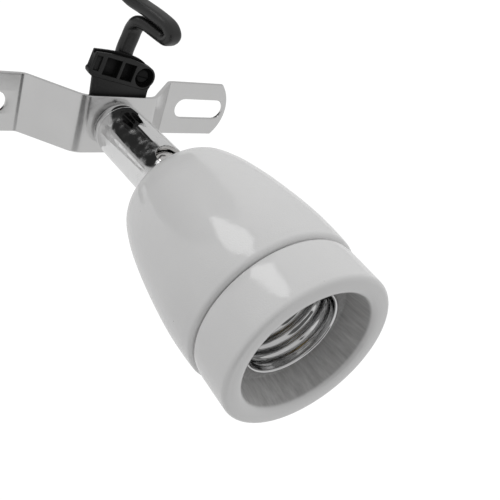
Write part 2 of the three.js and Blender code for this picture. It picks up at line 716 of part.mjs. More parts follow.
const lampholder = new THREE.Group();
lampholder.position.set(0, PIVOT_REACH, 0);
lampholder.rotation.set(-DROOP, 0, SIDE_LEAN);
lampholder.add(
  piece('swivel_ball', swivelBall(), NICKEL),
  piece('threaded_neck', threadedNeck(), NICKEL),
  piece('porcelain_body', porcelainBody(), PORCELAIN),
  piece('porcelain_collar', porcelainCollar(), PORCELAIN),
  piece('thread_shell', threadShell(), NICKEL),
  piece('contact_carrier', contactCarrier(), STEATITE),
  piece('centre_contact', centreContact(), BRASS),
  piece('shell_strap', shellStrap(), BRASS),
  piece('terminal_live', terminalBlock(-TERMINAL_X), BRASS),
  piece('terminal_neutral', terminalBlock(TERMINAL_X), BRASS),
  piece('terminal_screw_live', terminalScrew(-TERMINAL_X), ZINC),
  piece('terminal_screw_neutral', terminalScrew(TERMINAL_X), ZINC),
  piece('neck_bridge', neckBridge(), ZINC),
  piece('neck_nut', hexNut(14, 15.4, 17.8), BRASS),
  piece('carrier_screw_upper', carrierScrew(1), ZINC),
  piece('carrier_screw_lower', carrierScrew(-1), ZINC),
  piece('holder_core_live', holderCore(-1), BROWN_CORE),
  piece('holder_core_neutral', holderCore(1), BLUE_CORE),
);
swivel.add(lampholder);

export default fixture;
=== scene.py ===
"""The looks of the heat lamp fixture: fine meshes, procedural materials, studio and camera.

Shapes are drawn in millimetres in one of three local frames and placed in metres by a matrix:
  ROW     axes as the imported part, about the middle of the strip on the wall plane
  SWIVEL  Y runs outwards from the strip's front face along the tube ("reach")
  LAMP    Y runs from the swivel ball's centre along the lampholder's axis ("drop")
"""

import json
import math

import bmesh
import bpy
from mathutils import Matrix, Vector

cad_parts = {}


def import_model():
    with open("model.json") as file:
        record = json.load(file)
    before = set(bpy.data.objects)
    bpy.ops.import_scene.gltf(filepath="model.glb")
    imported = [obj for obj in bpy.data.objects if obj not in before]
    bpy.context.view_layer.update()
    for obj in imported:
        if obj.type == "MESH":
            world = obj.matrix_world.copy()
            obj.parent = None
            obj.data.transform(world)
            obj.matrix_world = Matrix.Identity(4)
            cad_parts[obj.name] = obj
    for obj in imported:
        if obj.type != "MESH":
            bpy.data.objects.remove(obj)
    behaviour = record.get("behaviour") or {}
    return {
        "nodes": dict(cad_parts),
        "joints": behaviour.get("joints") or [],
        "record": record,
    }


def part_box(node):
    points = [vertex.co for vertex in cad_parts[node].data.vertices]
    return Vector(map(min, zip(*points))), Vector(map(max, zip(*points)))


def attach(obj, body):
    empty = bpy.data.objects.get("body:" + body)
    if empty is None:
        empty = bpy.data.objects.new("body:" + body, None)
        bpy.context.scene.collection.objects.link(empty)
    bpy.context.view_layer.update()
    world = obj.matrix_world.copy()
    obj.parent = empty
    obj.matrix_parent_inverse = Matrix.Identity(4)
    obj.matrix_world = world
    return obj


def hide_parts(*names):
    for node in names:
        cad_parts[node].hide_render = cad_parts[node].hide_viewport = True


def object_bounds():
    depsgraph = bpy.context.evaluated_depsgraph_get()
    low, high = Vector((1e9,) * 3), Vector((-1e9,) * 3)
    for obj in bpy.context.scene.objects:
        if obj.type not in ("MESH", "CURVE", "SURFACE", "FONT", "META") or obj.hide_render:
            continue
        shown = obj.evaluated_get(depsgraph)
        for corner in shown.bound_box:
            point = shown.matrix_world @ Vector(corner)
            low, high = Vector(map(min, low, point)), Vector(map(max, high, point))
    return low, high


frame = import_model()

cad_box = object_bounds()

# ---- places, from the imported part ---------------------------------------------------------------

MM = 0.001
JOINTS = {joint["name"]: joint for joint in frame["joints"]}
STRIP_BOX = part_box("bracket_strip")
MIDDLE = Vector((
    (STRIP_BOX[0].x + STRIP_BOX[1].x) / 2, STRIP_BOX[1].y, (STRIP_BOX[0].z + STRIP_BOX[1].z) / 2,
))
STRIP_LOW, STRIP_HIGH = ((corner - MIDDLE) / MM for corner in STRIP_BOX)
HOUSING_LOW, HOUSING_HIGH = ((corner - MIDDLE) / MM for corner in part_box("swivel_housing"))
PIVOT = Vector(JOINTS["ball_tilt"]["pos_m"])
LAMP_AXIS = Vector(JOINTS["lamp_turn"]["axis"]).normalized()

SCALE = Matrix.Scale(MM, 4)
ROW = Matrix.Translation(MIDDLE) @ SCALE


def placed(x_axis, y_axis, z_axis, origin):
    """The matrix from a local frame in millimetres to the row frame in metres."""
    turn = Matrix((x_axis, y_axis, z_axis)).transposed().to_4x4()
    return Matrix.Translation(origin) @ turn @ SCALE


SWIVEL = placed((-1, 0, 0), (0, -1, 0), (0, 0, 1), MIDDLE + Vector((0, STRIP_LOW.y, 0)) * MM)
LAMP_UP = Vector((0, LAMP_AXIS.z, -LAMP_AXIS.y)).normalized()
LAMP = placed(LAMP_AXIS.cross(LAMP_UP), LAMP_AXIS, LAMP_UP, PIVOT)

# ---- mesh tools ----------------------------------------------------------------------------------

SHARP = math.radians(38)
MERGE = 1e-4  # millimetres


def rounded(corners, steps=4):
    """A closed outline in which each corner with a third number is rounded over that distance."""
    points = []
    for i, corner in enumerate(corners):
        here = Vector(corner[:2])
        if len(corner) < 3:
            points.append(here)
            continue
        start = here + (Vector(corners[i - 1][:2]) - here).normalized() * corner[2]
        end = here + (Vector(corners[(i + 1) % len(corners)][:2]) - here).normalized() * corner[2]
        for k in range(steps + 1):
            t = k / steps
            points.append(start * (1 - t) ** 2 + here * 2 * t * (1 - t) + end * t * t)
    return points


def arc(x, y, radius, start, end, steps):
    """Points round a circle, angles in degrees."""
    turns = [math.radians(start + (end - start) * k / steps) for k in range(steps + 1)]
    return [Vector((x + radius * math.cos(a), y + radius * math.sin(a))) for a in turns]


def tidy(bm):
    bmesh.ops.remove_doubles(bm, verts=bm.verts, dist=MERGE)
    bmesh.ops.dissolve_degenerate(bm, edges=bm.edges, dist=MERGE / 2)
    bmesh.ops.recalc_face_normals(bm, faces=bm.faces)
    return bm


def thing(name, bm, place=ROW):
    """A mesh object from a bmesh in millimetres."""
    if place is not None:
        bmesh.ops.transform(bm, matrix=place, verts=bm.verts)
    mesh = bpy.data.meshes.new(name)
    bm.to_mesh(mesh)
    bm.free()
    made = bpy.data.objects.new(name, mesh)
    bpy.context.scene.collection.objects.link(made)
    return made


def turned(outline, columns=96, bend=None, gap=None):
    """A closed outline of (radius, height) turned about Y.

    bend(radius, height, angle) gives the radius at that angle. gap(radius, height) is the half angle
    left open about +Z; the outline's first and second halves then run at the same heights.
    """
    bm = bmesh.new()
    grid = []
    for radius, height in outline:
        open_half = gap(radius, height) if gap else 0.0
        row = []
        for j in range(columns + 1):
            angle = math.pi / 2 + open_half + (2 * math.pi - 2 * open_half) * j / columns
            r = bend(radius, height, angle) if bend else radius
            row.append(bm.verts.new((r * math.cos(angle), height, r * math.sin(angle))))
        grid.append(row)
    count = len(grid)
    for i in range(count):
        this, after = grid[i], grid[(i + 1) % count]
        for j in range(columns):
            bm.faces.new((this[j], this[j + 1], after[j + 1], after[j]))
    if gap:
        rows = count // 2
        for j in (0, columns):
            for i in range(rows - 1):
                if gap(*outline[i + 1]) > 0:
                    k = count - 1 - i
                    bm.faces.new((grid[i][j], grid[i + 1][j], grid[k - 1][j], grid[k][j]))
    return tidy(bm)


def slab(outline, low, high):
    """An outline in X-Z, thickened from y = low to y = high."""
    bm = bmesh.new()
    face = bm.faces.new([bm.verts.new((x, low, z)) for x, z in outline])
    grown = bmesh.ops.extrude_face_region(bm, geom=[face])
    moved = [v for v in grown["geom"] if isinstance(v, bmesh.types.BMVert)]
    bmesh.ops.translate(bm, verts=moved, vec=(0, high - low, 0))
    return tidy(bm)


def block(x0, x1, y0, y1, z0, z1):
    return slab([(x0, z0), (x1, z0), (x1, z1), (x0, z1)], y0, y1)


def shifted(bm, x, y, z):
    bmesh.ops.translate(bm, verts=bm.verts, vec=(x, y, z))
    return bm


def rotated(bm, degrees, axis):
    bmesh.ops.transform(bm, matrix=Matrix.Rotation(math.radians(degrees), 4, axis), verts=bm.verts)
    return bm


def combined(bm, others, operation):
    """bm with the others cut from it (DIFFERENCE), joined to it (UNION) or kept with it (INTERSECT)."""
    for other in others:
        body, tool = thing("body", bm, None), thing("tool", other, None)
        change = body.modifiers.new("change", "BOOLEAN")
        change.operation, change.solver, change.object = operation, "EXACT", tool
        result = body.evaluated_get(bpy.context.evaluated_depsgraph_get())
        bm = bmesh.new()
        bm.from_mesh(result.to_mesh())
        for used in (body, tool):
            mesh = used.data
            bpy.data.objects.remove(used)
            bpy.data.meshes.remove(mesh)
    return bm


def cut(bm, *others):
    return combined(bm, others, "DIFFERENCE")


def fused(bm, *others):
    return combined(bm, others, "UNION")


def eased(bm, width, segments=2, angle=SHARP):
    """Rounds every edge that is sharper than an angle."""
    bmesh.ops.dissolve_limit(bm, angle_limit=math.radians(0.5), verts=bm.verts, edges=bm.edges)
    edges = [e for e in bm.edges if len(e.link_faces) == 2 and e.calc_face_angle() > angle]
    bmesh.ops.bevel(
        bm, geom=edges, offset=width, segments=segments, profile=0.6, affect="EDGES", clamp_overlap=False
    )
    return tidy(bm)


def line_through(points, steps):
    """A smooth line through the points: a centripetal Catmull-Rom curve."""
    points = [Vector(p) for p in points]
    padded = [2 * points[0] - points[1], *points, 2 * points[-1] - points[-2]]
    line = [points[0]]
    for p0, p1, p2, p3 in zip(padded, padded[1:], padded[2:], padded[3:]):
        d0, d1, d2 = (math.sqrt((b - a).length) for a, b in ((p0, p1), (p1, p2), (p2, p3)))
        leave = ((p1 - p0) / d0 - (p2 - p0) / (d0 + d1) + (p2 - p1) / d1) * d1
        arrive = ((p2 - p1) / d1 - (p3 - p1) / (d1 + d2) + (p3 - p2) / d2) * d1
        for k in range(1, steps + 1):
            t = k / steps
            line.append(
                p1 * (2 * t**3 - 3 * t**2 + 1) + leave * (t**3 - 2 * t**2 + t)
                + p2 * (3 * t**2 - 2 * t**3) + arrive * (t**3 - t**2)
            )
    return line


def swept(line, section, side, twist=None):
    """A section of (across, along side) points carried along a line.

    twist gives the section's own turn, in degrees, from the share of the line's points passed.
    """
    bm = bmesh.new()
    rings = []
    side = Vector(side)
    for i, point in enumerate(line):
        forward = (line[min(i + 1, len(line) - 1)] - line[max(i - 1, 0)]).normalized()
        side = (side - forward * side.dot(forward)).normalized()
        across = forward.cross(side)
        turn = math.radians(twist(i / (len(line) - 1))) if twist else 0.0
        wide = side * math.cos(turn) - across * math.sin(turn)
        thin = across * math.cos(turn) + side * math.sin(turn)
        rings.append([bm.verts.new(point + thin * u + wide * v) for u, v in section])
    count = len(section)
    for this, after in zip(rings, rings[1:]):
        for j in range(count):
            bm.faces.new((this[j], this[(j + 1) % count], after[(j + 1) % count], after[j]))
    bm.faces.new(rings[0])
    bm.faces.new(rings[-1])
    return tidy(bm)


def ramp(value, low, high):
    return min(1.0, max(0.0, (value - low) / (high - low)))


def circle(radius, steps=20):
    return [(radius * math.cos(2 * math.pi * k / steps), radius * math.sin(2 * math.pi * k / steps))
            for k in range(steps)]


def smoothed(made):
    """Smooth shading with sharp edges kept."""
    bm = bmesh.new()
    bm.from_mesh(made.data)
    for face in bm.faces:
        face.smooth = True
    for edge in bm.edges:
        edge.smooth = len(edge.link_faces) == 2 and edge.calc_face_angle() < SHARP
    bm.to_mesh(made.data)
    bm.free()
    return made


def piece(name, bm, place, body, slot, *nodes):
    """A finished piece that stands for CAD nodes, rides on their body and wears a slot's material."""
    made = smoothed(thing(name, bm, place))
    made.data.materials.append(finish_of(slot))
    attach(made, body)
    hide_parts(*nodes)
    return made


# ---- materials -----------------------------------------------------------------------------------

FINISHES = {}


def feed(tree, value, socket):
    """Gives a node's input a plain value, or the value of another node's output."""
    if isinstance(value, bpy.types.NodeSocket):
        tree.links.new(value, socket)
    else:
        socket.default_value = value


class Paint:
    """A node material with a Principled surface, built up a node at a time. Sizes are per metre."""

    def __init__(self, name, **inputs):
        self.material = bpy.data.materials.new(name)
        self.material.use_nodes = True
        self.tree = self.material.node_tree
        self.surface = self.tree.nodes["Principled BSDF"]
        for key, value in inputs.items():
            self.surface.inputs[key.replace("_", " ")].default_value = value
        self.place = self.node("ShaderNodeTexCoord").outputs["Object"]

    def node(self, kind, values=None, **settings):
        made = self.tree.nodes.new(kind)
        for key, value in settings.items():
            setattr(made, key, value)
        for key, value in (values or {}).items():
            feed(self.tree, value, made.inputs[key])
        return made

    def stretched(self, x, y, z):
        return self.node("ShaderNodeMapping", {"Vector": self.place, "Scale": (x, y, z)}).outputs[0]

    def noise(self, scale, detail=3.0, rough=0.5, place=None):
        values = {"Vector": place or self.place, "Scale": scale, "Detail": detail, "Roughness": rough}
        return self.node("ShaderNodeTexNoise", values).outputs["Fac"]

    def ranged(self, source, low, high, to_low, to_high):
        values = {"Value": source, "From Min": low, "From Max": high, "To Min": to_low, "To Max": to_high}
        return self.node("ShaderNodeMapRange", values).outputs["Result"]

    def maths(self, operation, a, b):
        return self.node("ShaderNodeMath", {0: a, 1: b}, operation=operation).outputs[0]

    def mixed(self, share, a, b):
        made = self.node("ShaderNodeMix", data_type="RGBA")
        for name, value in (("Factor_Float", share), ("A_Color", a), ("B_Color", b)):
            feed(self.tree, value, next(s for s in made.inputs if s.identifier == name))
        return next(s for s in made.outputs if s.identifier == "Result_Color")

    def bump(self, height, depth, strength=1.0, onto=None):
        """depth is the real height of the relief, in metres."""
        values = {"Height": height, "Distance": depth, "Strength": strength}
        if onto:
            values["Normal"] = onto
        return self.node("ShaderNodeBump", values).outputs["Normal"]

    def openness(self, distance):
        """1 on open surfaces and less in hollows of about this width."""
        return self.node("ShaderNodeAmbientOcclusion", {"Distance": distance}, samples=8).outputs["AO"]

    def set(self, **sockets):
        for key, value in sockets.items():
            self.tree.links.new(value, self.surface.inputs[key.replace("_", " ")])
        return self


def grey(value, warm=0.0):
    return (value * (1 + warm), value, value * (1 - warm), 1)


def porcelain():
    paint = Paint("glazed_porcelain", Coat_Weight=1.0, Coat_Roughness=0.07, Roughness=0.5)
    glaze = paint.node("ShaderNodeAttribute", attribute_name="glaze").outputs["Fac"]
    cloud = paint.noise(70, 4)
    glazed = paint.mixed(cloud, grey(0.71, 0.002), grey(0.77, 0.002))
    streaks = paint.noise(1, 5, 0.65, paint.stretched(900, 60, 900))
    bare = paint.mixed(paint.ranged(streaks, 0.3, 0.7, 0, 1), grey(0.40, 0.006), grey(0.60, 0.006))
    colour = paint.mixed(glaze, bare, glazed)
    cells = paint.node("ShaderNodeTexVoronoi", {"Vector": paint.place, "Scale": 330.0, "Randomness": 1.0})
    near = paint.ranged(cells.outputs["Distance"], 0.03, 0.07, 1, 0)
    rare = paint.maths("GREATER_THAN", cells.outputs["Color"], 0.80)
    speck = paint.maths("MULTIPLY", near, rare)
    colour = paint.mixed(paint.maths("MULTIPLY", speck, 0.75), colour, grey(0.12))
    waves = paint.noise(150, 3)
    ripple = paint.bump(waves, 0.00013, onto=paint.bump(paint.noise(420, 2), 0.00001))
    grain = paint.bump(paint.noise(2600, 4), 0.00005)
    paint.set(Base_Color=colour, Coat_Weight=glaze, Coat_Normal=ripple, Normal=grain)
    rough = paint.ranged(glaze, 0, 1, 0.85, 0.45)
    return paint.set(Roughness=rough).material


def chrome():
    paint = Paint("chrome", Metallic=1.0)
    smudge = paint.noise(160, 5, 0.6)
    fine = paint.noise(1, 3, 0.5, paint.stretched(2500, 120, 2500))
    tone = paint.mixed(smudge, grey(0.76), grey(0.85))
    rough = paint.ranged(paint.noise(330, 3, 0.5), 0.42, 0.75, 0.03, 0.34)
    waves = paint.bump(paint.noise(200, 2), 0.00003, onto=paint.bump(fine, 0.0000015))
    return paint.set(Base_Color=tone, Roughness=rough, Normal=waves).material


def nickel():
    paint = Paint("nickel", Metallic=1.0)
    cloud = paint.noise(220, 4)
    tone = paint.mixed(cloud, grey(0.60, 0.02), grey(0.72, 0.02))
    rough = paint.ranged(cloud, 0.3, 0.7, 0.10, 0.24)
    return paint.set(Base_Color=tone, Roughness=rough, Normal=paint.bump(cloud, 0.00002)).material


def shell_metal():
    paint = Paint("shell_metal", Metallic=1.0)
    rings = paint.noise(1, 4, 0.6, paint.stretched(60, 3500, 60))
    cloud = paint.noise(300, 4)
    tone = paint.mixed(cloud, grey(0.60), grey(0.74))
    rough = paint.ranged(rings, 0.3, 0.7, 0.05, 0.13)
    return paint.set(Base_Color=tone, Roughness=rough, Normal=paint.bump(rings, 0.000006)).material


def brushed_strip():
    paint = Paint("brushed_strip", Metallic=1.0)
    lines = paint.noise(1, 6, 0.7, paint.stretched(25, 900, 2600))
    cloud = paint.noise(90, 3)
    both = paint.mixed(0.5, lines, cloud)
    tone = paint.mixed(both, grey(0.58, 0.004), grey(0.68, 0.004))
    rough = paint.ranged(lines, 0.3, 0.7, 0.17, 0.26)
    return paint.set(Base_Color=tone, Roughness=rough, Normal=paint.bump(lines, 0.000002)).material


def dull_metal(name, dark, light, rough):
    """Cast, turned or drawn metal with a cloudy tarnish and fine tool marks."""
    paint = Paint(name, Metallic=1.0)
    cloud = paint.noise(350, 5, 0.6)
    tone = paint.mixed(cloud, dark, light)
    marks = paint.noise(1, 3, 0.5, paint.stretched(300, 5000, 300))
    spread = paint.ranged(cloud, 0.3, 0.7, rough * 0.75, rough * 1.3)
    return paint.set(Base_Color=tone, Roughness=spread, Normal=paint.bump(marks, 0.000008)).material


def dull_solid(name, dark, light, rough, grain, relief, sheen=0.5, shade_hollow=None):
    """Plastic, rubber, fibre or stoneware with a grain of its own size.

    Hollows narrower than the given distance lose their sheen: painted shade in the recesses.
    """
    paint = Paint(name, Specular_IOR_Level=sheen)
    cloud = paint.noise(grain / 12, 4)
    tone = paint.mixed(cloud, dark, light)
    spread = paint.ranged(cloud, 0.3, 0.7, rough * 0.85, rough * 1.15)
    texture = paint.bump(paint.noise(grain, 3), relief)
    paint.set(Base_Color=tone, Roughness=spread, Normal=texture)
    if shade_hollow:
        # painted shade: ambient occlusion takes the sheen out of narrow hollows
        paint.set(Specular_IOR_Level=paint.ranged(paint.openness(shade_hollow), 0.6, 1.0, 0.02, sheen))
    return paint.material


MAKERS = {
    "glazed_porcelain": porcelain,
    "chrome": chrome,
    "nickel": nickel,
    "shell_metal": shell_metal,
    "brushed_strip": brushed_strip,
    "brass": lambda: dull_metal("brass", (0.50, 0.36, 0.14, 1), (0.70, 0.54, 0.26, 1), 0.3),
    "zinc_screws": lambda: dull_metal("zinc_screws", grey(0.50), grey(0.64), 0.34),
    # the screw's near-black tone is partly its blackened finish and partly painted shade for its recess
    "blackened_steel": lambda: dull_metal("blackened_steel", grey(0.01), grey(0.02), 0.4),
    "spring_steel": lambda: dull_metal("spring_steel", grey(0.34), grey(0.48), 0.3),
    "copper_strands": lambda: dull_metal(
        "copper_strands", (0.55, 0.25, 0.13, 1), (0.76, 0.40, 0.24, 1), 0.3),
    "steatite": lambda: dull_solid("steatite", grey(0.58, 0.04), grey(0.68, 0.04), 0.75, 3000, 0.00004),
    # the grip's pockets get painted shade from the sheen fading in hollows
    "black_plastic": lambda: dull_solid(
        "black_plastic", grey(0.009), grey(0.013), 0.42, 2600, 0.00003, 0.38, shade_hollow=0.005),
    "black_sheath": lambda: dull_solid("black_sheath", grey(0.009), grey(0.016), 0.3, 1800, 0.00001, 0.55),
    "brown_insulation": lambda: dull_solid(
        "brown_insulation", (0.11, 0.045, 0.02, 1), (0.16, 0.07, 0.03, 1), 0.35, 1500, 0.00002),
    "blue_insulation": lambda: dull_solid(
        "blue_insulation", (0.02, 0.07, 0.25, 1), (0.035, 0.11, 0.36, 1), 0.35, 1500, 0.00002),
    "fibre": lambda: dull_solid("fibre", (0.22, 0.07, 0.04, 1), (0.32, 0.12, 0.07, 1), 0.8, 2200, 0.00006),
}


def finish_of(slot):
    if slot not in FINISHES:
        FINISHES[slot] = MAKERS[slot]()
    return FINISHES[slot]


# ---- bracket -------------------------------------------------------------------------------------

STRIP_THICK = 1.2
STRIP_EDGE = 0.14  # how far its edges are rounded
STRIP_HALF = STRIP_HIGH.z
TAB_TIP = STRIP_HIGH.x
TAB_CORNER = TAB_TIP - 4.0
STAND_OFF = -STRIP_LOW.y - STRIP_THICK
CENTRE_BEND = (12.7, 6.0)  # corner of the centre line along X, and the bend's radius
TAB_BEND = (26.75, 3.5)
SLOT_NEAR, SLOT_FAR, SLOT_HALF = 31.4, 52.4, 3.75
THREAD_HOLE_R, HOLE_POINTS = 5.2, 40  # the hole that the entry nipple passes
BEND_CUTS = 14
LAST_CUT = 5.0  # how far from a tab's tip the last cut is


def strip_line():
    """The bent centre line as runs: (arc length at the start, length, start point, heading, curvature)."""
    slope = math.atan2(STAND_OFF, TAB_BEND[0] - CENTRE_BEND[0])
    riser = (TAB_BEND[0] - CENTRE_BEND[0]) / math.cos(slope)
    trims = [radius * math.tan(slope / 2) for _, radius in (CENTRE_BEND, TAB_BEND)]
    lengths = [
        (CENTRE_BEND[0] - trims[0], 0.0),
        (CENTRE_BEND[1] * slope, 1 / CENTRE_BEND[1]),
        (riser - trims[0] - trims[1], 0.0),
        (TAB_BEND[1] * slope, -1 / TAB_BEND[1]),
        (TAB_TIP, 0.0),
    ]
    runs = []
    start, point, heading = 0.0, Vector((0, STRIP_LOW.y + STRIP_THICK / 2)), 0.0
    for length, curve in lengths:
        runs.append((start, length, point.copy(), heading, curve))
        point, heading = along_run(runs[-1], length)
        start += length
    return runs


def along_run(run, distance):
    """(point, heading) at a distance along a run."""
    _, _, point, heading, curve = run
    if not curve:
        return point + Vector((math.cos(heading), math.sin(heading))) * distance, heading
    turn = heading + curve * distance
    step = Vector((math.sin(turn) - math.sin(heading), math.cos(heading) - math.cos(turn))) / curve
    return point + step, turn


def bent(runs, length, depth):
    """(x, y) of a point of the flat blank at a length from the middle and a depth from its middle plane."""
    side = -1 if length < 0 else 1
    run = next(r for r in reversed(runs) if abs(length) >= r[0])
    point, heading = along_run(run, abs(length) - run[0])
    normal = Vector((-math.sin(heading), math.cos(heading)))
    place = point + normal * depth
    return side * place.x, place.y


def flat_blank(outlines, half_thick, bevel):
    """A flat plate from closed outlines (the first is its edge, the others are holes), edges rounded."""
    curve = bpy.data.curves.new("blank", "CURVE")
    curve.dimensions, curve.fill_mode = "2D", "BOTH"
    curve.extrude, curve.bevel_depth, curve.bevel_resolution = half_thick - bevel, bevel, 2
    curve.offset = -bevel
    for outline in outlines:
        spline = curve.splines.new("POLY")
        spline.points.add(len(outline) - 1)
        for point, (x, y) in zip(spline.points, outline):
            point.co = (x, y, 0, 1)
        spline.use_cyclic_u = True
    made = bpy.data.objects.new("blank", curve)
    bpy.context.scene.collection.objects.link(made)
    flat = made.evaluated_get(bpy.context.evaluated_depsgraph_get())
    bm = bmesh.new()
    bm.from_mesh(flat.to_mesh())
    bpy.data.objects.remove(made)
    bpy.data.curves.remove(curve)
    return tidy(bm)


def bracket_strip():
    runs = strip_line()
    tab_shift = runs[-1][0] - runs[-1][2].x  # arc length minus x, anywhere on the tab
    rise = TAB_TIP - TAB_CORNER
    tip_radius = (STRIP_HALF**2 + rise**2) / (2 * rise)
    spread = math.degrees(math.asin(STRIP_HALF / tip_radius))
    tip_x = TAB_TIP + tab_shift - tip_radius
    edge = arc(tip_x, 0, tip_radius, -spread, spread, 20)
    edge += arc(-tip_x, 0, tip_radius, 180 - spread, 180 + spread, 20)
    near, far = SLOT_NEAR + SLOT_HALF + tab_shift, SLOT_FAR - SLOT_HALF + tab_shift
    right = arc(far, 0, SLOT_HALF, -90, 90, 20) + arc(near, 0, SLOT_HALF, 90, 270, 20)
    left = [Vector((-x, y)) for x, y in right]
    hole = arc(0, 0, THREAD_HOLE_R, 0, 360 - 360 / HOLE_POINTS, HOLE_POINTS - 1)
    bm = flat_blank([edge, right, left, hole], STRIP_THICK / 2, STRIP_EDGE)
    for start, length, _, _, curve in runs:
        steps = BEND_CUTS if curve else 1
        for side in (-1, 1):
            for k in range(steps + 1):
                at = side * min(start + length * k / steps, TAB_TIP + tab_shift - LAST_CUT)
                geometry = list(bm.verts) + list(bm.edges) + list(bm.faces)
                bmesh.ops.bisect_plane(bm, geom=geometry, plane_co=(at, 0, 0), plane_no=(1, 0, 0))
    for vert in bm.verts:
        x, y = bent(runs, vert.co.x, vert.co.z)
        vert.co = (x, y, vert.co.y)
    return tidy(bm)


piece("bracket_strip_bent", bracket_strip(), ROW, "bracket", "brushed_strip", "bracket_strip")

# ---- cord grip, behind the strip -----------------------------------------------------------------

GRIP_GAP = 0.1
GRIP_FRONT = STRIP_LOW.y + STRIP_THICK + GRIP_GAP
GRIP_HALF = 9.0
GRIP_FOOT = -9.5
GRIP_WALL, TRAY_WALL = 1.3, 1.2
GRIP_ROLL = 11.0
BAR_AT = (-0.75, 0.0, 18.7)
BAR_THICK = 2.8
BAR_LEFT, BAR_BOTTOM, BAR_LIP = -11.2, -4.6, 0.4
BAR_GAP = 0.3
# the hollows in its front: left, right, depth, bottom and top of each
BAR_POCKETS = ((-6.8, -1.3, 2.1, -3.3, 2.5), (-0.2, 4.2, 2.3, -3.3, 2.4), (-10.4, -8.4, 0.5, -2.6, 2.2))
BOSS = (8.4, 0.0, -0.7)
BOSS_R = 3.9
RECESS_R = 3.3
SCREW_SEAT = 2.0
SCREW_R, SCREW_ROOT_R, SCREW_PITCH, SCREW_TURNS = 1.3, 1.02, 0.6, 5
HEAD_R, SCREW_SLOT_HALF = 2.4, 0.35
TOP_GROOVE, REAR_RIB = 0.9, 1.9  # the groove along the bar's top, by depth
JAW_LEFT, JAW_RIGHT, JAW_FLOOR, JAW_TOP = -2.4, 4.85, 8.9, 15.3
JAW_BACK, JAW_WALL = 8.9, 0.7


def behind(depth):
    """The y of a depth behind the grip's front face."""
    return GRIP_FRONT + depth


def askew(bm):
    """Turns a piece drawn square to the lead into its place on the bracket."""
    return shifted(rotated(bm, GRIP_ROLL, "Y"), *BAR_AT)


def rod(radius, low, high):
    return slab(circle(radius, 40), low, high)


def bar_outline(crown, top_left):
    """The clamp bar: square at the left with a small lip, round about the screw, its top a long bow."""
    round_end = arc(BOSS[0], BOSS[2], BOSS_R, -90, 90, 24)
    tip, bow, corner = round_end[-1], Vector(crown), Vector((BAR_LEFT, top_left))
    shares = [k / 12 for k in range(1, 13)]
    top = [tip * (1 - t) ** 2 + bow * 2 * t * (1 - t) + corner * t * t for t in shares]
    out = ((0, -2), (BAR_LIP / 2, -2.3), (BAR_LIP, -2.9), (BAR_LIP / 2, -3.5), (0, -3.8))
    lip = [(BAR_LEFT - x, z) for x, z in out]
    return [(BAR_LEFT + 1.2, BAR_BOTTOM), *round_end, *top, *lip]


def stacked(layers):
    """A solid through outlines of as many points each, at rising depths."""
    bm = bmesh.new()
    rings = [[bm.verts.new((x, depth, z)) for x, z in outline] for outline, depth in layers]
    count = len(rings[0])
    for this, after in zip(rings, rings[1:]):
        for j in range(count):
            bm.faces.new((this[j], this[(j + 1) % count], after[(j + 1) % count], after[j]))
    bm.faces.new(rings[0])
    bm.faces.new(rings[-1])
    return tidy(bm)


def clamp_bar():
    groove = bar_outline((0, 3.8), 2.4)
    front = bar_outline((0, 4.8), 3.1)
    rib = bar_outline((4, 6.2), 3.4)
    bar = stacked([
        (front, behind(0)), (front, behind(TOP_GROOVE)), (groove, behind(TOP_GROOVE)),
        (groove, behind(REAR_RIB)), (rib, behind(REAR_RIB)), (rib, behind(BAR_THICK)),
    ])
    pockets = [block(x0, x1, behind(-1), behind(deep), z0, z1) for x0, x1, deep, z0, z1 in BAR_POCKETS]
    recess = shifted(rod(RECESS_R, behind(-1), behind(SCREW_SEAT)), *BOSS)
    hole = shifted(rod(SCREW_R + 0.4, behind(0), behind(BAR_THICK + 1)), *BOSS)
    return askew(eased(cut(bar, *pockets, recess, hole), 0.14, 3))


def clamp_screw():
    top, seat, tip = behind(1.1), behind(SCREW_SEAT - 0.15), behind(5.7)
    dome = [(HEAD_R, seat), (HEAD_R, top + 0.35), (HEAD_R - 0.2, top + 0.15), (1.7, top + 0.02), (0, top)]
    grooves = []
    for k in range(SCREW_TURNS):
        start = seat + 0.5 + SCREW_PITCH * k
        grooves += [(SCREW_R, start), (SCREW_ROOT_R, start + SCREW_PITCH / 2)]
    outline = [*dome, (0, tip), (0.8, tip - 0.5), *reversed(grooves), (SCREW_R, seat)]
    slot = block(-HEAD_R - 0.2, HEAD_R + 0.2, top - 1, top + 0.5, -SCREW_SLOT_HALF, SCREW_SLOT_HALF)
    return askew(shifted(cut(turned(outline, 48), slot), *BOSS))


